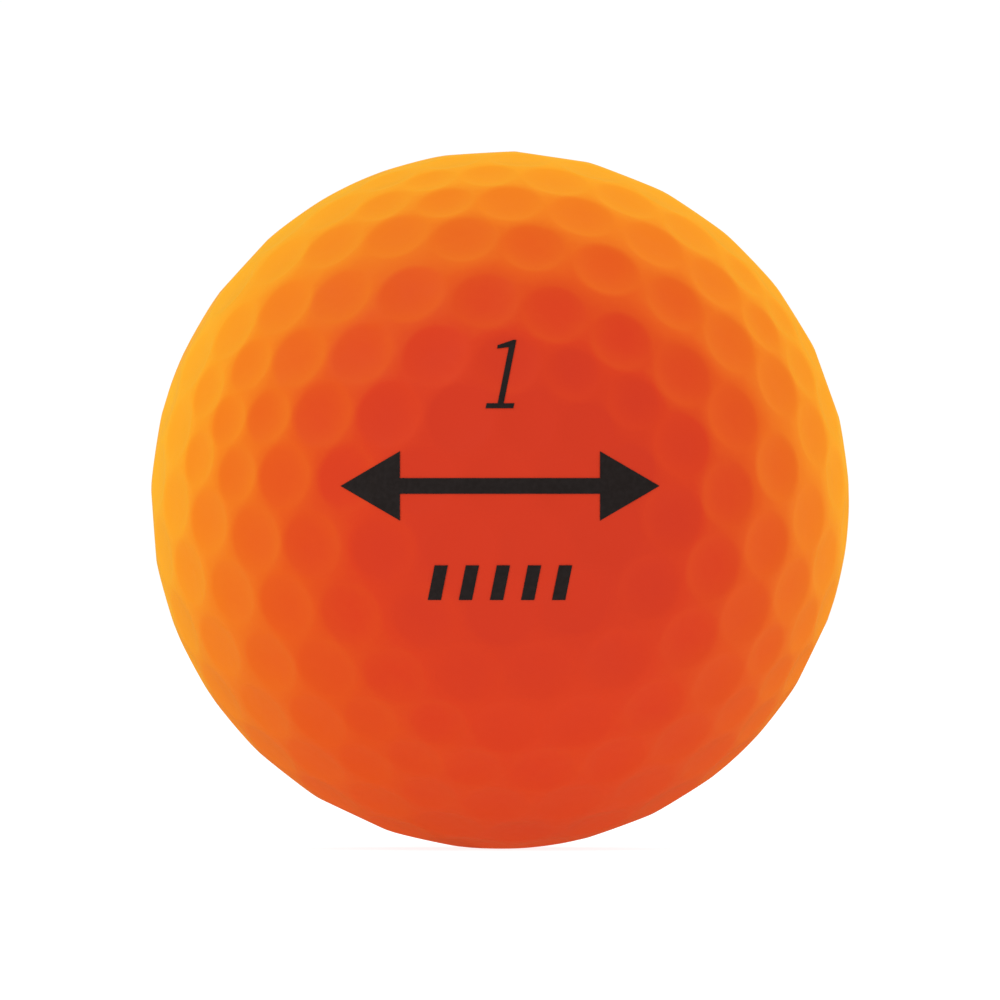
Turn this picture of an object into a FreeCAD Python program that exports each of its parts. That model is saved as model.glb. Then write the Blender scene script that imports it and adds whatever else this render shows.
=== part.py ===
import FreeCAD, Part

import math
import os

import Sketcher

# A golf ball: two moulded rubber cores inside a dimpled ionomer cover, with pad-printed marks on
# opposite sides. Millimetres. The origin is the ball's centre, +Z is up and one print faces -Y.

Vector = FreeCAD.Vector
Rotation = FreeCAD.Rotation
Placement = FreeCAD.Placement
X_AXIS = Vector(1, 0, 0)
Y_AXIS = Vector(0, 1, 0)
Z_AXIS = Vector(0, 0, 1)

SIZES = [
    ("ball_dia", 42.70, "outside diameter over the lands"),
    ("cover_wall", 1.70, "cover wall under the lands"),
    ("inner_core_dia", 25.00, "soft inner core"),
    ("dimple_depth", 0.155, "dimple floor below its rim"),
    ("corner_dimple_dia", 3.20, "dimples with five neighbours"),
    ("ring_dimple_dia", 3.45, "dimples round a five-neighbour one"),
    ("second_dimple_dia", 4.00, "next ring out"),
    ("field_dimple_dia", 4.15, "all other dimples"),
    ("cutter_rise", 0.02, "dimple cutter above the lands"),
    ("lattice_stretch", 1.05, "pole angle scale that clears the seam"),
    ("seam_twist", 42.0, "lower half against upper half, degrees"),
    ("pole_heading", 68.9, "direction the pole leans to, degrees"),
    ("pole_tilt", 42.8, "pole away from +Z, degrees"),
    ("pole_spin", 32.4, "turn about the pole, degrees"),
    ("ink_film", 0.05, "printed ink thickness"),
    ("stencil_reach", 24.0, "stencil length from the centre"),
    ("digit_tall", 4.14, "play number height"),
    ("digit_foot", 1.68, "play number foot length"),
    ("digit_stem", 0.365, "play number stem width"),
    ("digit_bar", 0.30, "play number foot thickness"),
    ("digit_slant", 0.20, "play number sideways lean per height"),
    ("digit_rise", 5.55, "play number foot above centre"),
    ("line_long", 19.30, "alignment mark length"),
    ("line_wide", 0.95, "alignment line width"),
    ("line_rise", 0.85, "alignment line above centre"),
    ("head_long", 3.60, "arrow head length"),
    ("head_wide", 4.20, "arrow head width"),
    ("tick_wide", 0.80, "lower tick width"),
    ("tick_tall", 2.10, "lower tick height"),
    ("tick_pitch", 1.88, "lower tick spacing"),
    ("tick_drop", 5.00, "lower ticks below centre"),
]

LATTICE_FREQUENCY = 6
TICK_COUNT = 5
# Turns a floor sphere so that neither its poles nor its seam fall inside the dimple.
SEAM_AWAY = -90
DIMPLE_KINDS = [
    # name, largest angle in degrees from a five-neighbour dimple on the unstretched lattice
    ("corner", 1.0),
    ("ring", 13.0),
    ("second", 17.5),
    ("field", 90.0),
]


def make_sheet(doc):
    """Spreadsheet of the driving dimensions, one alias per cell."""
    sheet = doc.addObject("Spreadsheet::Sheet", "dims")
    for row, (alias, value, note) in enumerate(SIZES, start=1):
        sheet.set(f"A{row}", note)
        sheet.set(f"B{row}", str(value))
        sheet.setAlias(f"B{row}", alias)
    doc.recompute()
    return sheet


def bind(obj, **expressions):
    """Bind properties to spreadsheet expressions; a double underscore stands for a dot."""
    for prop, expression in expressions.items():
        obj.setExpression(prop.replace("__", "."), expression)


def sphere(doc, name, radius):
    ball = doc.addObject("Part::Sphere", name)
    bind(ball, Radius=radius)
    return ball


def boolean(doc, kind, name, base, tool):
    result = doc.addObject(f"Part::{kind}", name)
    result.Base = base
    result.Tool = tool
    return result


def icosahedron_corners():
    """Unit directions of the twelve corners, with one corner at each pole."""
    height = 1 / math.sqrt(5)
    reach = 2 / math.sqrt(5)
    corners = [Vector(0, 0, 1), Vector(0, 0, -1)]
    for k in range(5):
        upper = math.radians(72 * k)
        lower = math.radians(72 * k + 36)
        corners.append(Vector(reach * math.cos(upper), reach * math.sin(upper), height))
        corners.append(Vector(reach * math.cos(lower), reach * math.sin(lower), -height))
    return corners


def faces_above_equator(corners):
    """Icosahedron faces that reach above the equator: five caps and ten belt faces."""
    top = corners[0]
    upper = corners[2::2]
    lower = corners[3::2]
    faces = []
    for k in range(5):
        after = (k + 1) % 5
        faces.append((top, upper[k], upper[after]))
        faces.append((upper[k], upper[after], lower[k]))
        faces.append((upper[after], lower[k], lower[after]))
    return faces


def half_lattice():
    """Dimple directions of one half: icosahedral grid points above the equator row."""
    corners = icosahedron_corners()
    points = {}
    for a, b, c in faces_above_equator(corners):
        for i in range(LATTICE_FREQUENCY + 1):
            for j in range(LATTICE_FREQUENCY + 1 - i):
                point = a * i + b * j + c * (LATTICE_FREQUENCY - i - j)
                point.normalize()
                if point.z > 0.05:
                    key = (round(point.x, 3), round(point.y, 3), round(point.z, 3))
                    points[key] = point
    return sorted(points.values(), key=lambda p: (-round(p.z, 3), round(math.atan2(p.y, p.x), 3)))


def dimple_kind(direction, corners):
    """Size class of a dimple, from how near it lies to a five-neighbour position."""
    nearest = min(math.degrees(direction.getAngle(corner)) for corner in corners)
    for name, limit in DIMPLE_KINDS:
        if nearest < limit:
            return name


def lattice_turns(sheet):
    """Turns that carry a dimple from the pole to its place, per size class, for both halves."""
    corners = icosahedron_corners()
    turn_over = Rotation(Z_AXIS, sheet.seam_twist) * Rotation(X_AXIS, 180)
    turns = {name: [] for name, _ in DIMPLE_KINDS}
    for direction in half_lattice():
        colatitude = math.degrees(direction.getAngle(Z_AXIS)) * sheet.lattice_stretch
        longitude = math.degrees(math.atan2(direction.y, direction.x))
        turn = Rotation(Z_AXIS, longitude) * Rotation(Y_AXIS, colatitude)
        kind = dimple_kind(direction, corners)
        turns[kind].append(Placement(Vector(), turn))
        turns[kind].append(Placement(Vector(), turn_over * turn))
    return turns


def dimple_cutter(doc, kind):
    """Lens over the pole: a large sphere trimmed just above the ball's surface."""
    rim = f"dims.{kind}_dimple_dia / 2"
    floor_radius = f"(({rim})^2 + dims.dimple_depth^2) / (2 * dims.dimple_depth)"
    rim_height = f"sqrt((dims.ball_dia / 2)^2 - ({rim})^2)"
    floor = sphere(doc, f"{kind}_floor", floor_radius)
    floor.Placement = Placement(Vector(), Rotation(Y_AXIS, SEAM_AWAY))
    bind(floor, Placement__Base__z=f"{rim_height} - dims.dimple_depth + {floor_radius}")
    limit = sphere(doc, f"{kind}_limit", "dims.ball_dia / 2 + dims.cutter_rise")
    return boolean(doc, "Common", f"{kind}_cutter", floor, limit)


def dimple_pattern(doc, sheet):
    """All dimple cutters, one linked array per size class."""
    turns = lattice_turns(sheet)
    arrays = []
    for kind, _ in DIMPLE_KINDS:
        array = doc.addObject("App::Link", f"{kind}_dimples")
        array.LinkedObject = dimple_cutter(doc, kind)
        array.ShowElement = False
        array.ElementCount = len(turns[kind])
        array.PlacementList = turns[kind]
        arrays.append(array)
    pattern = doc.addObject("Part::Compound", "dimple_pattern")
    pattern.Links = arrays
    return pattern


def make_inner_core(doc):
    """Compression-moulded rubber ball at the centre."""
    return sphere(doc, "inner_core", "dims.inner_core_dia / 2")


def make_outer_core(doc):
    """Firmer rubber layer moulded round the inner core."""
    blank = sphere(doc, "outer_core_blank", "dims.ball_dia / 2 - dims.cover_wall")
    hollow = sphere(doc, "outer_core_hollow", "dims.inner_core_dia / 2")
    return boolean(doc, "Cut", "outer_core", blank, hollow)


def make_cover(doc, sheet):
    """Cover moulded in two dimpled cavities; the seam is the plane with no dimples."""
    blank = sphere(doc, "cover_blank", "dims.ball_dia / 2")
    hollow = sphere(doc, "cover_hollow", "dims.ball_dia / 2 - dims.cover_wall")
    wall = boolean(doc, "Cut", "cover_wall", blank, hollow)
    cover = boolean(doc, "Cut", "cover", wall, dimple_pattern(doc, sheet))
    lean = "rotation(vector(0; 0; 1); dims.pole_heading)"
    tip = "rotation(vector(0; 1; 0); dims.pole_tilt)"
    spin = "rotation(vector(0; 0; 1); dims.pole_spin)"
    bind(cover, Placement=f"placement(vector(0; 0; 0); {lean} * {tip} * {spin})")
    return cover


def origin_plane(body, role):
    """One of the body's own origin planes."""
    return next(plane for plane in body.Origin.OriginFeatures if plane.Role == role)


def tie_point(sketch, line, coordinates):
    """Place a line's start point by expressions; None keeps it on that axis of the sketch."""
    for kind, axis, expression in zip(("DistanceX", "DistanceY"), (-2, -1), coordinates):
        if expression is None:
            sketch.addConstraint(Sketcher.Constraint("PointOnObject", line, 1, axis))
            continue
        start = sketch.Geometry[line].StartPoint
        size = start.x if kind == "DistanceX" else start.y
        row = sketch.addConstraint(Sketcher.Constraint(kind, -1, 1, line, 1, size))
        sketch.setExpression(f"Constraints[{row}]", expression)


def outline_size(sheet, expression):
    """Number behind an outline expression, for the sketch's first guess."""
    if expression is None:
        return 0.0
    return float(sheet.evalExpression(expression.replace("dims.", "")))


def draw_outline(sheet, sketch, corners):
    """Closed outline through corners given as expression pairs."""
    first = sketch.GeometryCount
    points = [Vector(outline_size(sheet, x), outline_size(sheet, y), 0) for x, y in corners]
    for start, end in zip(points, points[1:] + points[:1]):
        sketch.addGeometry(Part.LineSegment(start, end), False)
    for line in range(len(points)):
        following = first + (line + 1) % len(points)
        sketch.addConstraint(Sketcher.Constraint("Coincident", first + line, 2, following, 1))
    for line, coordinates in enumerate(corners, start=first):
        tie_point(sketch, line, coordinates)


def stencil(doc, sheet, name, outlines, left, bottom):
    """Straight-sided stencil pushed out of the centre plane towards -Y.

    Outlines are measured from a lower left point, which left and bottom place.
    """
    body = doc.addObject("PartDesign::Body", name)
    sketch = body.newObject("Sketcher::SketchObject", f"{name}_outline")
    sketch.AttachmentSupport = [(origin_plane(body, "XZ_Plane"), "")]
    sketch.MapMode = "FlatFace"
    for corners in outlines:
        draw_outline(sheet, sketch, corners)
    pad = body.newObject("PartDesign::Pad", f"{name}_pad")
    pad.Profile = sketch
    bind(pad, Length="dims.stencil_reach")
    bind(body, Placement__Base__x=left, Placement__Base__z=bottom)
    return body


def digit_stencil(doc, sheet):
    """Slanted numeral one with a flag and a foot."""
    tall, foot, bar = "dims.digit_tall", "dims.digit_foot", "dims.digit_bar"
    lean = "dims.digit_slant"
    stem = "0.4 * dims.digit_foot"
    right = f"{stem} + dims.digit_stem"
    corners = [
        (None, None),
        (foot, None),
        (f"{foot} + {lean} * {bar}", bar),
        (f"{right} + {lean} * {bar}", bar),
        (f"{right} + {lean} * {tall}", tall),
        (f"{right} + {lean} * {tall} - 0.5 * dims.digit_stem", tall),
        (f"0.44 * {foot}", f"0.923 * {tall}"),
        (f"0.42 * {foot}", f"0.874 * {tall}"),
        (f"{stem} + {lean} * 0.894 * {tall}", f"0.894 * {tall}"),
        (f"{stem} + {lean} * {bar}", bar),
        (f"{lean} * {bar}", bar),
    ]
    left = "-0.52 * dims.digit_foot"
    return stencil(doc, sheet, "digit_stencil", [corners], left, "dims.digit_rise")


def line_stencil(doc, sheet):
    """Alignment line with an arrow head at each end."""
    long, wide = "dims.line_long", "dims.head_wide"
    head = "dims.head_long"
    low = f"({wide} - dims.line_wide) / 2"
    high = f"({wide} + dims.line_wide) / 2"
    corners = [
        (None, f"{wide} / 2"),
        (head, None),
        (head, low),
        (f"{long} - {head}", low),
        (f"{long} - {head}", None),
        (long, f"{wide} / 2"),
        (f"{long} - {head}", wide),
        (f"{long} - {head}", high),
        (head, high),
        (head, wide),
    ]
    bottom = f"dims.line_rise - {wide} / 2"
    return stencil(doc, sheet, "line_stencil", [corners], f"-{long} / 2", bottom)


def tick_stencil(doc, sheet):
    """Row of short slanted ticks."""
    wide, tall = "dims.tick_wide", "dims.tick_tall"
    lean = f"dims.digit_slant * {tall}"
    ticks = []
    for k in range(TICK_COUNT):
        start = f"{k} * dims.tick_pitch"
        ticks.append([
            (start if k else None, None),
            (f"{start} + {wide}", None),
            (f"{start} + {wide} + {lean}", tall),
            (f"{start} + {lean}", tall),
        ])
    left = f"-({TICK_COUNT - 1} * dims.tick_pitch + {wide} + {lean}) / 2"
    return stencil(doc, sheet, "tick_stencil", ticks, left, f"-dims.tick_drop - {tall} / 2")


def lifted_cover(doc, cover, side, towards):
    """Copy of the cover moved out by one film thickness on the printed side."""
    lifted = doc.addObject("App::Link", f"{side}_film_limit")
    lifted.LinkedObject = cover
    lifted.LinkTransform = True
    bind(lifted, Placement__Base__y=f"{towards} * dims.ink_film")
    return lifted


def ink_film(doc, name, stencil_shape, lifted, cover):
    """Ink that follows the dimples: the stencilled part of the lifted cover, less the cover."""
    blank = boolean(doc, "Common", f"{name}_blank", stencil_shape, lifted)
    return boolean(doc, "Cut", name, blank, cover)


def turned_stencil(doc, stencil_shape, side, heading):
    """Link to a stencil turned about the vertical axis to face its side."""
    turned = doc.addObject("App::Link", f"{side}_{stencil_shape.Name}")
    turned.LinkedObject = stencil_shape
    turned.LinkTransform = True
    turned.Placement = Placement(Vector(), Rotation(Z_AXIS, heading))
    return turned


def make_prints(doc, sheet, cover):
    """The same three marks pad-printed on the front and on the rear."""
    stencils = {
        "play_number": digit_stencil(doc, sheet),
        "alignment_line": line_stencil(doc, sheet),
        "tick_row": tick_stencil(doc, sheet),
    }
    films = []
    for side, heading, towards in (("front", 0, -1), ("rear", 180, 1)):
        lifted = lifted_cover(doc, cover, side, towards)
        for mark, shape in stencils.items():
            turned = turned_stencil(doc, shape, side, heading)
            films.append(ink_film(doc, f"{mark}_{side}", turned, lifted, cover))
    return films


def check(doc):
    """Stop if any object failed to recompute."""
    for obj in doc.Objects:
        if {"Invalid", "Error"} & set(obj.State):
            raise RuntimeError(f"{obj.Name} is in state {obj.State}")


def export(pieces):
    """Write one STEP file per piece, named by its label."""
    os.makedirs("parts", exist_ok=True)
    for piece in pieces:
        shape = piece.Shape
        if shape.isNull() or not shape.isValid() or not shape.Solids:
            raise RuntimeError(f"{piece.Label} has no valid solid")
        shape.exportStep(f"parts/{piece.Label}.step")
        volume = round(shape.Volume, 3)
        print(piece.Label, "solids", len(shape.Solids), "faces", len(shape.Faces), "mm3", volume)


def main():
    doc = FreeCAD.newDocument("golf_ball")
    sheet = make_sheet(doc)
    cover = make_cover(doc, sheet)
    pieces = [make_inner_core(doc), make_outer_core(doc), cover]
    pieces += make_prints(doc, sheet, cover)
    for piece in pieces:
        piece.Label = piece.Name
    doc.recompute()
    check(doc)
    export(pieces)


main()
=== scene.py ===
import math

import bmesh
import bpy
import numpy as np
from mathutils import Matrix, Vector
from mathutils.geometry import delaunay_2d_cdt


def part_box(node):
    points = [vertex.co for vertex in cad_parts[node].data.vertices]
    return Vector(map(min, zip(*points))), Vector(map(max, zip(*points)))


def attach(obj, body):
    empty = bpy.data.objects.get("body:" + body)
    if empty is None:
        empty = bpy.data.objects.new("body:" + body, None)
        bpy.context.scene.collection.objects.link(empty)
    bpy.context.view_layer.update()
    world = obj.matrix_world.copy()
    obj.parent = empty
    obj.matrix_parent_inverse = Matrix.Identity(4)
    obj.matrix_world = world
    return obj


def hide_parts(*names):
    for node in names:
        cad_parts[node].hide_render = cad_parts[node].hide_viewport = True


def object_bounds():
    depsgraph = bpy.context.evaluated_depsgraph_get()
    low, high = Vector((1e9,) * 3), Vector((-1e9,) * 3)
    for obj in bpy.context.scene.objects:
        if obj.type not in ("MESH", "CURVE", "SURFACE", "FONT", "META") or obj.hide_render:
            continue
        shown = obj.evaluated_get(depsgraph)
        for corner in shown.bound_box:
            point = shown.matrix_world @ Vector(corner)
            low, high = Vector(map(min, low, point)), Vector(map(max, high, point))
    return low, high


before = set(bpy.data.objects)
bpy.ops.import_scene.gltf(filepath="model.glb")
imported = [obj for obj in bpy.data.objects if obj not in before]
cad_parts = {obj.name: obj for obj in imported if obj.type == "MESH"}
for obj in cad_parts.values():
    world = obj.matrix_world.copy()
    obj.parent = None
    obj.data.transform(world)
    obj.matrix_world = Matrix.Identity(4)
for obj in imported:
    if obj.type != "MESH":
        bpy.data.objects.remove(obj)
cad_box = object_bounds()

# A matte orange golf ball. Lengths below are in millimetres and turned into metres where a mesh is
# made. The ball's centre is the origin, +Z is up and the front print faces -Y.

MM = 0.001

# ---- Dimple layout: the same rule as the CAD cover, checked against it below ----

LATTICE_FREQUENCY = 6
LATTICE_STRETCH = 1.05
SEAM_TWIST = math.radians(42.0)
POLE_HEADING = math.radians(68.9)
POLE_TILT = math.radians(42.8)
POLE_SPIN = math.radians(32.4)
DIMPLE_DEPTH = 0.155
DIMPLE_KINDS = [
    # rim diameter, largest angle in degrees from a five-neighbour dimple
    (3.20, 1.0),
    (3.45, 13.0),
    (4.00, 17.5),
    (4.15, 90.0),
]

# The rim is rounded where dimple floor and sphere come this close, and is level this far outside it.
RIM_SOFTNESS = 0.060
RIM_REACH = 0.6

# Lattice points below this height, with the ball's radius as 1, belong to the equator row.
EQUATOR_ROW = 0.05

# Angle in radians over which a slope is measured, and the largest difference allowed from the CAD.
SLOPE_STEP = 1e-5
SKIN_TOLERANCE = 0.03

# ---- Mesh density of the cover: rings as shares of a dimple's radius, then the rim, then one more
# ring at a share of the gap to the nearest dimple ----

RIM_SEGMENTS = 30
RING_SHARES = [0.30, 0.56, 0.76, 0.89, 0.96]
GAP_SHARE = 0.45
INNER_SUBDIVISIONS = 5

# ---- Prints ----

INK_FILM = 0.05
INK_SINK = 0.003
SLANT = 0.20
TICK_COUNT = 5

# Mesh spacing, with the spacing of its rows and the clear margin at an outline as shares of it.
INK_GRID = 0.16
INK_ROW = 0.866
INK_MARGIN = 0.55

# Shares of the numeral's foot length across, and of its height up.
STEM_START = 0.4
STEM_WIDTH = 0.217
CAP_WIDTH = 0.109
FOOT_BAR = 0.0725
FLAG_TOP = (0.44, 0.923)
FLAG_TIP = (0.42, 0.874)
FLAG_ROOT = 0.894

# Shares of a mark's height.
HEAD_LENGTH = 0.857
HALF_LINE = 0.113
TICK_WIDTH = 0.381


def cad_vertices(node):
    """Vertices of a CAD node, in millimetres."""
    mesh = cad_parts[node].data
    points = np.empty(len(mesh.vertices) * 3)
    mesh.vertices.foreach_get("co", points)
    return points.reshape(-1, 3) / MM


def turn(axis, angle):
    """3 by 3 rotation about X (0), Y (1) or Z (2)."""
    c, s = math.cos(angle), math.sin(angle)
    i, j = [(1, 2), (2, 0), (0, 1)][axis]
    matrix = np.eye(3)
    matrix[i, i], matrix[i, j], matrix[j, i], matrix[j, j] = c, -s, s, c
    return matrix


def unit(vectors):
    """Vectors scaled to length one."""
    return vectors / np.linalg.norm(vectors, axis=-1, keepdims=True)


def from_angles(colatitude, longitude):
    """Directions at angles from +Z and about it."""
    colatitude, longitude = np.broadcast_arrays(colatitude, longitude)
    flat = np.sin(colatitude)
    return np.stack([flat * np.cos(longitude), flat * np.sin(longitude), np.cos(colatitude)], -1)


def icosahedron():
    """Corners with one at each pole, and the faces that reach above the equator."""
    ring = math.atan(2)
    steps = np.radians(72 * np.arange(5))
    upper = from_angles(ring, steps)
    lower = from_angles(math.pi - ring, steps + math.radians(36))
    top = np.array([0.0, 0.0, 1.0])
    faces = []
    for k in range(5):
        after = (k + 1) % 5
        faces.append((top, upper[k], upper[after]))
        faces.append((upper[k], upper[after], lower[k]))
        faces.append((upper[after], lower[k], lower[after]))
    return np.vstack([top, -top, upper, lower]), faces


def half_lattice():
    """Dimple directions of one half and the angle from each to the nearest corner."""
    corners, faces = icosahedron()
    n = LATTICE_FREQUENCY
    weights = np.array([(i, j, n - i - j) for i in range(n + 1) for j in range(n + 1 - i)])
    points = unit(np.vstack([weights @ np.array(face) for face in faces]))
    points = points[points[:, 2] > EQUATOR_ROW]
    _, first = np.unique(points.round(3), axis=0, return_index=True)
    points = points[np.sort(first)]
    nearest = np.degrees(np.arccos((points @ corners.T).clip(-1, 1).max(1)))
    return points, nearest


def dimple_layout():
    """Centre direction and rim radius of every dimple on the ball."""
    points, nearest = half_lattice()
    colatitude = np.arccos(points[:, 2].clip(-1, 1)) * LATTICE_STRETCH
    upper = from_angles(colatitude, np.arctan2(points[:, 1], points[:, 0]))
    turn_over = turn(2, SEAM_TWIST) @ turn(0, math.pi)
    centres = np.vstack([upper, upper @ turn_over.T])
    lean = turn(2, POLE_HEADING) @ turn(1, POLE_TILT) @ turn(2, POLE_SPIN)
    limits = [limit for _, limit in DIMPLE_KINDS]
    sizes = np.array([diameter / 2 for diameter, _ in DIMPLE_KINDS])
    radii = sizes[np.searchsorted(limits, nearest, side="right")]
    return centres @ lean.T, np.tile(radii, 2)


class Surface:
    """The dimpled outer surface as a height over every direction from the centre."""

    def __init__(self, radius):
        self.radius = radius
        self.centres, self.rims = dimple_layout()

    def drop(self, angle, rim):
        """How far the surface lies below the sphere at an angle from a dimple's centre."""
        floor_radius = (rim**2 + DIMPLE_DEPTH**2) / (2 * DIMPLE_DEPTH)
        floor_centre = math.sqrt(self.radius**2 - rim**2) - DIMPLE_DEPTH + floor_radius
        side = floor_centre * np.sin(angle)
        floor = floor_centre * np.cos(angle) - np.sqrt(np.maximum(floor_radius**2 - side**2, 0))
        gap = floor - self.radius
        blend = np.maximum(RIM_SOFTNESS - np.abs(gap), 0) ** 2 / (4 * RIM_SOFTNESS)
        return np.maximum(-gap, 0) + blend

    def height(self, directions):
        """Distance from the centre, the unit normal, and how deep in a dimple each point is."""
        drop = np.zeros(len(directions))
        slope = np.zeros_like(directions)
        for centre, rim in zip(self.centres, self.rims):
            reach = rim / self.radius + RIM_REACH / self.radius
            near = np.nonzero(directions @ centre > math.cos(reach))[0]
            cosine = (directions[near] @ centre).clip(-1, 1)
            angle = np.arccos(cosine)
            fall = self.drop(angle, rim)
            rise = self.drop(angle + SLOPE_STEP, rim) - self.drop(np.abs(angle - SLOPE_STEP), rim)
            rate = rise / (2 * SLOPE_STEP)
            away = directions[near] * cosine[:, None] - centre
            length = np.maximum(np.linalg.norm(away, axis=1, keepdims=True), 1e-9)
            drop[near] += fall
            slope[near] += away / length * rate[:, None]
        distance = self.radius - drop
        normals = unit(directions + slope / distance[:, None])
        return distance, normals, drop

    def check_against(self, vertices):
        """Stop if this surface and the CAD cover's dimpled skin drift apart."""
        distance = np.linalg.norm(vertices, axis=1)
        skin = distance > self.radius - 2 * DIMPLE_DEPTH
        ours, _, _ = self.height(unit(vertices[skin]))
        worst = np.abs(ours - distance[skin]).max()
        if worst > SKIN_TOLERANCE:
            raise RuntimeError(f"the dimples differ from the CAD cover by {worst:.3f} mm")


def ring_frame(centres):
    """Two tangent directions at each centre."""
    helper = np.where(np.abs(centres[:, 2:]) < 0.9, [[0, 0, 1.0]], [[1.0, 0, 0]])
    first = unit(np.cross(helper, centres))
    return first, np.cross(centres, first)


def dimple_rings(surface):
    """Directions of the rings round every dimple: dimple, ring, segment, xyz."""
    centres = surface.centres
    rim = surface.rims / surface.radius
    spacing = np.arccos((centres @ centres.T).clip(-1, 1))
    np.fill_diagonal(spacing, math.pi)
    gap = (spacing - rim[:, None] - rim[None, :]).min(1)
    outer = rim + GAP_SHARE * gap
    within = rim[:, None] * np.array(RING_SHARES)
    angles = np.concatenate([within, rim[:, None], outer[:, None]], axis=1)
    first, second = ring_frame(centres)
    around = np.arange(RIM_SEGMENTS) * 2 * math.pi / RIM_SEGMENTS
    spoke = (
        first[:, None, :] * np.cos(around)[None, :, None]
        + second[:, None, :] * np.sin(around)[None, :, None]
    )
    return (
        centres[:, None, None, :] * np.cos(angles)[:, :, None, None]
        + spoke[:, None, :, :] * np.sin(angles)[:, :, None, None]
    )


def flat_map(directions, viewpoint):
    """Stereographic map of directions, which keeps circles round; the viewpoint itself has no place."""
    first, second = ring_frame(viewpoint[None])
    across = np.stack([directions @ first[0], directions @ second[0]], -1)
    return across / (1 - directions @ viewpoint)[:, None]


def dimple_faces(count, rings):
    """Fans and bands that fill every dimple out to its last ring."""
    faces = []
    segments = np.arange(RIM_SEGMENTS)
    after = (segments + 1) % RIM_SEGMENTS
    for dimple in range(count):
        base = dimple * rings * RIM_SEGMENTS
        centre = count * rings * RIM_SEGMENTS + dimple
        for a, b in zip(segments, after):
            faces.append((centre, base + a, base + b))
        for ring in range(rings - 1):
            low = base + ring * RIM_SEGMENTS
            high = low + RIM_SEGMENTS
            for a, b in zip(segments, after):
                faces.append((low + a, high + a, high + b, low + b))
    return faces


def land_faces(directions, count, rings):
    """Triangles between the dimples, joining their outer rings, which stay whole."""
    ring_index = np.arange(count)[:, None] * rings + rings - 1
    outer = (ring_index * RIM_SEGMENTS + np.arange(RIM_SEGMENTS)).ravel()
    first_centre = directions[count * rings * RIM_SEGMENTS]
    points = [Vector(place) for place in flat_map(directions[outer], first_centre)]
    after = np.roll(np.arange(len(outer)).reshape(count, RIM_SEGMENTS), -1, axis=1).ravel()
    sides = [(start, int(end)) for start, end in enumerate(after)]
    triangles = np.array(delaunay_2d_cdt(points, sides, [], 0, 1e-9)[2])
    owner = triangles // RIM_SEGMENTS
    land = triangles[(owner != owner[:, :1]).any(1)]
    corners = directions[outer[land]]
    facing = np.cross(corners[:, 1] - corners[:, 0], corners[:, 2] - corners[:, 0])
    inward = (facing * corners.mean(1)).sum(1) < 0
    land[inward] = land[inward][:, ::-1]
    return [tuple(face) for face in outer[land]]


def inner_skin(radius):
    """Smooth inside of the cover, facing the core."""
    mesh = bmesh.new()
    bmesh.ops.create_icosphere(mesh, subdivisions=INNER_SUBDIVISIONS, radius=radius)
    points = np.array([v.co[:] for v in mesh.verts])
    faces = [tuple(v.index for v in reversed(face.verts)) for face in mesh.faces]
    mesh.free()
    return points, faces


def check_closed(mesh):
    """Stop if any edge of a mesh has other than two faces, or two that disagree on the outside."""
    net = bmesh.new()
    net.from_mesh(mesh)
    if not all(edge.is_manifold and edge.is_contiguous for edge in net.edges):
        raise RuntimeError(f"{mesh.name} is not a closed mesh")
    net.free()


def mesh_object(name, points, faces, normals, depth=None):
    """Object in metres with the given normals and an optional dimple depth attribute."""
    mesh = bpy.data.meshes.new(name)
    mesh.from_pydata((points * MM).tolist(), [], faces)
    check_closed(mesh)
    mesh.shade_smooth()
    mesh.normals_split_custom_set_from_vertices(normals.tolist())
    if depth is not None:
        attribute = mesh.attributes.new("dimple_depth", "FLOAT", "POINT")
        attribute.data.foreach_set("value", depth.astype(np.float32))
    obj = bpy.data.objects.new(name, mesh)
    bpy.context.scene.collection.objects.link(obj)
    return obj


def build_cover(surface, inner_radius):
    """Closed shell: rings in every dimple, land between them and a smooth lining."""
    rings = dimple_rings(surface)
    count, ring_count = rings.shape[:2]
    directions = unit(np.vstack([rings.reshape(-1, 3), surface.centres]))
    distance, normals, drop = surface.height(directions)
    faces = dimple_faces(count, ring_count) + land_faces(directions, count, ring_count)
    lining, lining_faces = inner_skin(inner_radius)
    shift = len(directions)
    faces += [tuple(v + shift for v in face) for face in lining_faces]
    points = np.vstack([directions * distance[:, None], lining])
    normals = np.vstack([normals, -unit(lining)])
    depth = np.concatenate([drop / drop.max(), np.zeros(len(lining))])
    return mesh_object("dimpled_cover", points, faces, normals, depth)


# ---- Prints: flat outlines laid on the dimpled surface along Y ----


def node_span(node, side):
    """Left, bottom, width and height of a print as seen from its own side."""
    low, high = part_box(node)
    left = low.x if side > 0 else -high.x
    return left / MM, low.z / MM, (high.x - low.x) / MM, (high.z - low.z) / MM


def digit_outline(left, bottom, width, height):
    """Slanted numeral one with a flag and a foot."""
    foot = (width - SLANT * height) / (STEM_START + STEM_WIDTH)
    stem = STEM_START * foot
    bar = FOOT_BAR * height
    right = stem + STEM_WIDTH * foot
    shape = [
        (0, 0),
        (foot, 0),
        (foot + SLANT * bar, bar),
        (right + SLANT * bar, bar),
        (right + SLANT * height, height),
        (right + SLANT * height - CAP_WIDTH * foot, height),
        (FLAG_TOP[0] * foot, FLAG_TOP[1] * height),
        (FLAG_TIP[0] * foot, FLAG_TIP[1] * height),
        (stem + SLANT * FLAG_ROOT * height, FLAG_ROOT * height),
        (stem + SLANT * bar, bar),
        (SLANT * bar, bar),
    ]
    return [(left + x, bottom + y) for x, y in shape]


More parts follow.
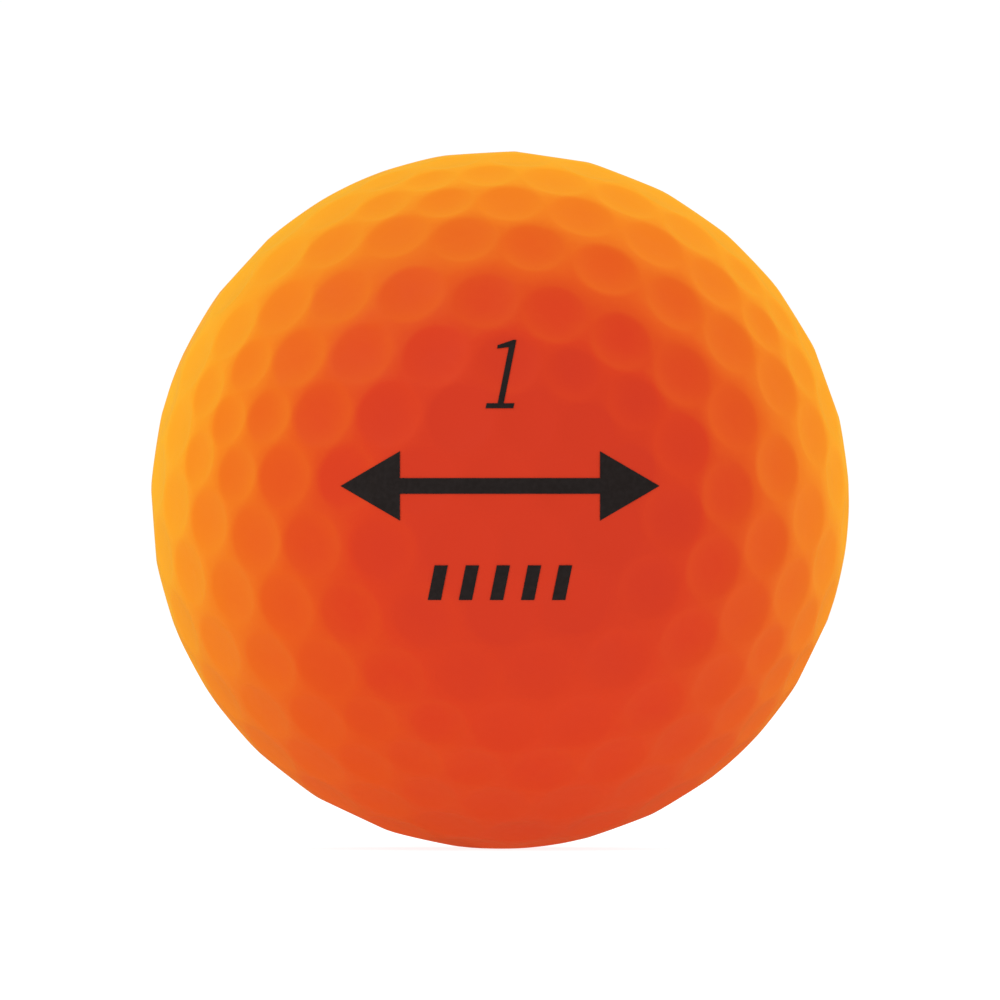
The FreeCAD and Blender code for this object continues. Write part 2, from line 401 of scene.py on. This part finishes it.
def line_outline(left, bottom, width, height):
    """Alignment line with an arrow head at each end."""
    head = HEAD_LENGTH * height
    half_line = HALF_LINE * height
    middle = bottom + height / 2
    top = bottom + height
    right = left + width
    return [
        (left, middle),
        (left + head, bottom),
        (left + head, middle - half_line),
        (right - head, middle - half_line),
        (right - head, bottom),
        (right, middle),
        (right - head, top),
        (right - head, middle + half_line),
        (left + head, middle + half_line),
        (left + head, top),
    ]


def tick_outlines(left, bottom, width, height):
    """Row of slanted ticks."""
    lean = SLANT * height
    tick = TICK_WIDTH * height
    pitch = (width - lean - tick) / (TICK_COUNT - 1)
    starts = [left + k * pitch for k in range(TICK_COUNT)]
    return [
        [(x, bottom), (x + tick, bottom), (x + tick + lean, bottom + height), (x + lean, bottom + height)]
        for x in starts
    ]


def along(start, end, pitch):
    """Points from start up to, but not at, end, no further apart than pitch."""
    start, end = np.array(start), np.array(end)
    steps = max(1, math.ceil(np.linalg.norm(end - start) / pitch))
    return [tuple(start + (end - start) * k / steps) for k in range(steps)]


def inside(points, outline):
    """True for points inside a closed outline, by counting crossings."""
    x, y = points[:, 0], points[:, 1]
    hit = np.zeros(len(points), bool)
    for (x0, y0), (x1, y1) in zip(outline, outline[1:] + outline[:1]):
        if y0 != y1:
            crosses = (y0 > y) != (y1 > y)
            hit ^= crosses & (x < (x1 - x0) * (y - y0) / (y1 - y0) + x0)
    return hit


def edge_distance(points, outline):
    """Distance from each point to the nearest side of an outline."""
    best = np.full(len(points), 1e9)
    for start, end in zip(outline, outline[1:] + outline[:1]):
        start, side = np.array(start), np.array(end) - np.array(start)
        share = ((points - start) @ side / (side @ side)).clip(0, 1)
        best = np.minimum(best, np.linalg.norm(points - start - share[:, None] * side, axis=1))
    return best


def fill_outline(outline):
    """Fine flat mesh of an outline: points, triangles and the rim's point indices in order."""
    rim = [p for a, b in zip(outline, outline[1:] + outline[:1]) for p in along(a, b, INK_GRID)]
    low, high = np.min(outline, 0), np.max(outline, 0)
    rows = np.arange(low[1], high[1], INK_GRID * INK_ROW)
    grid = []
    for k, y in enumerate(rows):
        xs = np.arange(low[0] + (k % 2) * INK_GRID / 2, high[0], INK_GRID)
        grid += [(x, y) for x in xs]
    grid = np.array(grid)
    grid = grid[inside(grid, outline) & (edge_distance(grid, outline) > INK_MARGIN * INK_GRID)]
    points = [Vector(p) for p in rim] + [Vector(p) for p in grid]
    loop = list(range(len(rim)))
    out, _, faces, _, _, _ = delaunay_2d_cdt(points, [], [loop], 1, 1e-6)
    return np.array([p[:] for p in out]), [list(f) for f in faces], loop


def lay_on_ball(surface, flat, side):
    """Directions of the surface points that a flat print meets when pressed along Y."""
    x, z = flat[:, 0] * side, flat[:, 1]
    reach = surface.radius
    for _ in range(4):
        y = -side * np.sqrt(np.maximum(reach**2 - x**2 - z**2, 0))
        directions = unit(np.stack([x, y, z], -1))
        reach, _, _ = surface.height(directions)
    return directions


def build_print(surface, name, outlines, side):
    """Thin ink film for each outline, with edge walls and an underside just inside the cover."""
    points = []
    faces = []
    normals = []
    top = 0
    for outline in outlines:
        flat, triangles, loop = fill_outline(outline)
        directions = lay_on_ball(surface, flat, side)
        distance, outward, _ = surface.height(directions)
        base = directions * distance[:, None]
        under = top + len(flat)
        faces += [tuple(top + v for v in corners) for corners in triangles]
        faces += [tuple(under + v for v in reversed(corners)) for corners in triangles]
        faces += [(under + a, under + b, top + b, top + a) for a, b in zip(loop, loop[1:] + loop[:1])]
        points += [base - np.array([0, side * INK_FILM, 0]), base - outward * INK_SINK]
        normals += [outward, -outward]
        top = under + len(flat)
    return mesh_object(name, np.vstack(points), faces, np.vstack(normals))


def build_prints(surface):
    """All six prints, each in place of its CAD node."""
    prints = []
    for side, word in ((1, "front"), (-1, "rear")):
        nodes = [f"{mark}_{word}" for mark in ("play_number", "alignment_line", "tick_row")]
        outlines = [
            [digit_outline(*node_span(nodes[0], side))],
            [line_outline(*node_span(nodes[1], side))],
            tick_outlines(*node_span(nodes[2], side)),
        ]
        for node, shapes in zip(nodes, outlines):
            mark = build_print(surface, f"{node}_ink", shapes, side)
            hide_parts(node)
            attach(mark, "root")
            prints.append(mark)
    return prints


# ---- Materials ----


class Nodes:
    """Short ways to add and link the nodes of one material."""

    def __init__(self, name):
        self.material = bpy.data.materials.new(name)
        self.material.use_nodes = True
        self.tree = self.material.node_tree
        self.shader = self.tree.nodes["Principled BSDF"]

    def add(self, kind, **settings):
        """New node; a value for an input is given with the input's name, in inputs."""
        node = self.tree.nodes.new(kind)
        inputs = settings.pop("inputs", {})
        for key, value in settings.items():
            setattr(node, key, value)
        for key, value in inputs.items():
            self.put(value, node.inputs[key])
        return node

    def put(self, value, socket):
        """Link a socket, or set a plain value."""
        if isinstance(value, bpy.types.NodeSocket):
            self.tree.links.new(value, socket)
        else:
            socket.default_value = value

    def math(self, operation, *values):
        node = self.add("ShaderNodeMath", operation=operation)
        for socket, value in zip(node.inputs, values):
            self.put(value, socket)
        return node.outputs[0]

    def unit(self, vector):
        node = self.add("ShaderNodeVectorMath", operation="NORMALIZE")
        self.put(vector, node.inputs[0])
        return node.outputs[0]

    def split(self, vector):
        return self.add("ShaderNodeSeparateXYZ", inputs={"Vector": vector}).outputs

    def dot(self, first, second):
        node = self.add("ShaderNodeVectorMath", operation="DOT_PRODUCT")
        self.put(first, node.inputs[0])
        self.put(second, node.inputs[1])
        return node.outputs["Value"]

    def smooth(self, value, low, high, out_low=0.0, out_high=1.0):
        """Value eased from out_low at low to out_high at high."""
        inputs = {"Value": value, "From Min": low, "From Max": high, "To Min": out_low, "To Max": out_high}
        node = self.add("ShaderNodeMapRange", interpolation_type="SMOOTHSTEP", inputs=inputs)
        return node.outputs["Result"]

    def ramp(self, value, stops):
        """Colour from stops of (position, linear red, green, blue)."""
        node = self.add("ShaderNodeValToRGB", inputs={"Fac": value})
        elements = node.color_ramp.elements
        while len(elements) < len(stops):
            elements.new(0.5)
        for element, (position, *colour) in zip(elements, stops):
            element.position = position
            element.color = (*colour, 1)
        return node.outputs["Color"]

    def noise(self, scale, detail=2.0, roughness=0.5):
        """Noise over the object's own coordinates, in metres."""
        place = self.add("ShaderNodeTexCoord").outputs["Object"]
        inputs = {"Vector": place, "Scale": scale, "Detail": detail, "Roughness": roughness}
        return self.add("ShaderNodeTexNoise", inputs=inputs).outputs["Fac"]

    def bump(self, height, distance, strength=1.0):
        inputs = {"Height": height, "Distance": distance, "Strength": strength}
        return self.add("ShaderNodeBump", inputs=inputs).outputs["Normal"]

    def mix(self, factor, first, second, kind="RGBA"):
        """Blend of two colours, or of two vectors."""
        node = self.add("ShaderNodeMix", data_type=kind)
        pair = {"VECTOR": 2, "RGBA": 3}[kind]
        self.put(factor, node.inputs[0])
        self.put(first, node.inputs[2 * pair])
        self.put(second, node.inputs[2 * pair + 1])
        return node.outputs[pair - 1]

    def finish(self, **inputs):
        for name, value in inputs.items():
            self.put(value, self.shader.inputs[name.replace("_", " ")])
        return self.material


COVER_COLOURS = [
    # painted edge light, linear red, green, blue
    (0.00, 0.61, 0.036, 0.010),
    (0.07, 0.66, 0.044, 0.008),
    (0.20, 0.74, 0.094, 0.005),
    (0.40, 0.84, 0.207, 0.003),
    (0.58, 0.91, 0.337, 0.004),
    (0.80, 0.96, 0.455, 0.010),
    (0.95, 0.99, 0.430, 0.030),
]

# How much of the dimpled surface's own normal counts, from the underside up.
SHARE_HEIGHTS = (-0.7, 0.2)
SHARE_RANGE = (0.28, 0.48)

# Painted edge light: its start, the painted top light that makes it grow with height, and what a dimple's
# depth (painted shade) and +X (painted side light, yellower towards -X) add to it.
PAINTED_LIGHT_START = -0.038
TOP_LIGHT_HEIGHTS = (-1.47, 0.22)
TOP_LIGHT_RANGE = (0.0, 0.93)
DIMPLE_SHADE = -0.036
SIDE_LIGHT = -0.07
CLOUD_TONE = 0.03
MOTTLE_TONE = 0.02

# Facing value for rays that don't come from the camera, and the cosine that tells them apart.
MEAN_FACING = 0.33
STRAIGHT_SIGHT = -0.99999


def from_camera(n, incoming):
    """1 for a ray that runs straight between the camera and the surface, 0 for any other."""
    sight = n.add("ShaderNodeCameraData").outputs["View Vector"]
    turned = {"vector_type": "VECTOR", "convert_from": "CAMERA", "convert_to": "WORLD"}
    sight = n.add("ShaderNodeVectorTransform", inputs={"Vector": sight}, **turned).outputs["Vector"]
    return n.math("LESS_THAN", n.dot(sight, incoming), STRAIGHT_SIGHT)


def painted_edge_light(n):
    """Painted light: how much yellower the cover is painted, most seen edge-on (painted rim light)
    and towards -X (painted side light), least on its underside (painted top light).

    This follows a normal between the dimpled surface's own and the round ball's, which softens the
    painted light over the dimples. Rays that don't come from the camera take the mean over all directions
    of view.
    """
    geometry = n.add("ShaderNodeNewGeometry").outputs
    outward = n.unit(geometry["Position"])
    share = n.smooth(n.split(outward)["Z"], *SHARE_HEIGHTS, *SHARE_RANGE)
    soft_normal = n.unit(n.mix(share, outward, geometry["Normal"], "VECTOR"))
    # Painted rim light: yellower where the softened normal turns away from the view.
    facing = n.add("ShaderNodeLayerWeight", inputs={"Blend": 0.5, "Normal": soft_normal}).outputs["Facing"]
    facing = n.smooth(from_camera(n, geometry["Incoming"]), 0.0, 1.0, MEAN_FACING, facing)
    # Painted shade: dimple floors get less painted light, so they are redder the deeper they are.
    depth = n.add("ShaderNodeAttribute", attribute_name="dimple_depth").outputs["Fac"]
    facing = n.math("MULTIPLY_ADD", depth, DIMPLE_SHADE, facing)
    across = n.split(soft_normal)
    # Painted top light: the painted edge light is strongest on top and fades towards the underside.
    top_light = n.smooth(across["Z"], *TOP_LIGHT_HEIGHTS, *TOP_LIGHT_RANGE)
    painted_light_and_mottle = n.math("MULTIPLY_ADD", facing, top_light, PAINTED_LIGHT_START)
    # Painted side light: yellower towards -X, the key light's side.
    return n.math("MULTIPLY_ADD", across["X"], SIDE_LIGHT, painted_light_and_mottle)


def coat_grain(n):
    """Fine grain of the matte coat over the cover and the ink."""
    return n.bump(n.noise(5200, 3, 0.6), 0.000006, 0.6)


def cover_material():
    """Tinted translucent ionomer under a matte coat: red-orange face-on, with painted rim, top and side
    light that makes it yellower at the edges.
    """
    n = Nodes("cover_ionomer")
    # Painted light: rim, top and side light and dimple shade are painted into the base colour; the cloud
    # and mottle added below are the cover's own uneven tone.
    painted_light_and_mottle = painted_edge_light(n)
    cloud = n.math("SUBTRACT", n.noise(260, 3), 0.5)
    painted_light_and_mottle = n.math("MULTIPLY_ADD", cloud, CLOUD_TONE, painted_light_and_mottle)
    mottle = n.math("SUBTRACT", n.noise(1600, 3, 0.6), 0.5)
    painted_light_and_mottle = n.math("MULTIPLY_ADD", mottle, MOTTLE_TONE, painted_light_and_mottle)
    return n.finish(
        Base_Color=n.ramp(painted_light_and_mottle, COVER_COLOURS),
        Roughness=n.smooth(n.noise(900, 2), 0.2, 0.8, 0.46, 0.58),
        Specular_IOR_Level=0.11,
        Normal=coat_grain(n),
    )


def ink_material():
    """Near-black pad-printing ink, a little uneven, under the same matte coat."""
    n = Nodes("print_ink")
    density = n.smooth(n.noise(3500, 4, 0.6), 0.3, 0.75)
    colour = n.ramp(density, [(0.0, 0.011, 0.009, 0.010), (1.0, 0.016, 0.013, 0.014)])
    roughness = n.smooth(n.noise(900, 2), 0.2, 0.8, 0.46, 0.60)
    return n.finish(
        Base_Color=colour,
        Roughness=roughness,
        Specular_IOR_Level=0.20,
        Normal=coat_grain(n),
    )


def rubber_material(name, light, dark, grit):
    """Moulded rubber with a faint mottle and a fine grain."""
    n = Nodes(name)
    mottle = n.smooth(n.noise(350, 5, 0.6), 0.3, 0.7)
    colour = n.mix(mottle, (*dark, 1), (*light, 1))
    return n.finish(
        Base_Color=colour,
        Roughness=n.smooth(n.noise(1200, 2), 0.2, 0.8, 0.62, 0.78),
        Specular_IOR_Level=0.3,
        Normal=n.bump(n.noise(grit, 4, 0.6), 0.00002, 0.5),
    )


def assign(obj, material):
    """Give an object this one material."""
    obj.data.materials.clear()
    obj.data.materials.append(material)


def assign_all(cover, prints):
    """Materials of the cover, the prints and the two cores."""
    assign(cover, cover_material())
    ink = ink_material()
    for mark in prints:
        assign(mark, ink)
    inner_rubber = rubber_material("inner_core_rubber", (0.52, 0.49, 0.42), (0.44, 0.41, 0.35), 2600)
    outer_rubber = rubber_material("outer_core_rubber", (0.62, 0.20, 0.05), (0.54, 0.16, 0.04), 2200)
    assign(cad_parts["inner_core"], inner_rubber)
    assign(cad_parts["outer_core"], outer_rubber)


# ---- Stage, light and camera ----

# The floor glows: this much as the camera sees it, and this much as light on the ball.
FLOOR_SIZE = 6.0
FLOOR_GREY = 0.35
FLOOR_SEEN = 0.86
FLOOR_LIGHT = 0.78

# The lens and sensor are in millimetres, and the ball takes this share of the picture's width.
LENS = 1000.0
SENSOR = 36.0
BALL_SHARE = 0.698

WHITE = (1.0, 1.0, 1.0)
SKY = (0.90, 0.90, 0.90)
SHEEN = (0.32, 0.18, 0.07)
SKY_STRENGTH = 1.02
SOFTBOXES = [
    # name, place, size, power, whether it shows in reflections
    ("key_upper_left", (-0.38, -0.25, 0.55), 0.50, 0.92, True),
    ("fill_right", (0.55, 0.30, 0.45), 0.45, 1.4, False),
]


def make_floor():
    """Plain white light table with a faint contact shadow, a little dimmer as light than as seen."""
    bpy.ops.mesh.primitive_plane_add(size=FLOOR_SIZE, location=(0, 0, cad_box[0].z))
    floor = bpy.context.object
    floor.name = "studio_floor"
    floor.visible_glossy = False
    n = Nodes("studio_white")
    seen = n.add("ShaderNodeLightPath").outputs["Is Camera Ray"]
    material = n.finish(
        Base_Color=(FLOOR_GREY, FLOOR_GREY, FLOOR_GREY, 1),
        Roughness=0.9,
        Specular_IOR_Level=0.0,
        Emission_Color=(1, 1, 1, 1),
        Emission_Strength=n.smooth(seen, 0.0, 1.0, FLOOR_LIGHT, FLOOR_SEEN),
    )
    assign(floor, material)


def make_world():
    """White studio all round: full white to the camera, dimmer as light, dim and warm in the sheen.

    In a Mix node, inputs 6 and 7 and output 2 are the colours.
    """
    world = bpy.data.worlds.new("studio")
    world.use_nodes = True
    tree = world.node_tree
    ray = tree.nodes.new("ShaderNodeLightPath").outputs
    background = tree.nodes["Background"]
    background.inputs["Strength"].default_value = SKY_STRENGTH
    colour = None
    for kind, seen in (("Is Glossy Ray", SHEEN), ("Is Camera Ray", WHITE)):
        mix = tree.nodes.new("ShaderNodeMix")
        mix.data_type = "RGBA"
        mix.inputs[6].default_value = (*SKY, 1)
        mix.inputs[7].default_value = (*seen, 1)
        tree.links.new(ray[kind], mix.inputs[0])
        if colour:
            tree.links.new(colour, mix.inputs[6])
        colour = mix.outputs[2]
    tree.links.new(colour, background.inputs["Color"])
    bpy.context.scene.world = world


def softbox(name, place, size, power, sheen):
    """Square soft light at a place, aimed at the ball."""
    light = bpy.data.lights.new(name, "AREA")
    light.size = size
    light.energy = power
    lamp = bpy.data.objects.new(name, light)
    lamp.visible_glossy = sheen
    lamp.location = place
    lamp.rotation_euler = (-Vector(place)).to_track_quat("-Z", "Y").to_euler()
    bpy.context.scene.collection.objects.link(lamp)


def make_camera(radius):
    """Very long lens, so an almost parallel view, looking straight along +Y at the ball's centre."""
    data = bpy.data.cameras.new("camera")
    data.lens = LENS
    data.sensor_width = SENSOR
    camera = bpy.data.objects.new("camera", data)
    edge = math.atan(BALL_SHARE * SENSOR / 2 / LENS)
    camera.location = (0, -radius / math.sin(edge), 0)
    camera.rotation_euler = (math.pi / 2, 0, 0)
    bpy.context.scene.collection.objects.link(camera)
    bpy.context.scene.camera = camera


# ---- The ball and its studio ----

cad_distance = np.linalg.norm(cad_vertices("cover"), axis=1)
surface = Surface(cad_distance.max())
surface.check_against(cad_vertices("cover"))
cover = build_cover(surface, cad_distance.min())
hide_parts("cover")
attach(cover, "root")
prints = build_prints(surface)
assign_all(cover, prints)

make_floor()
make_world()
for settings in SOFTBOXES:
    softbox(*settings)
make_camera(surface.radius * MM)
bpy.context.scene.view_settings.view_transform = "Standard"
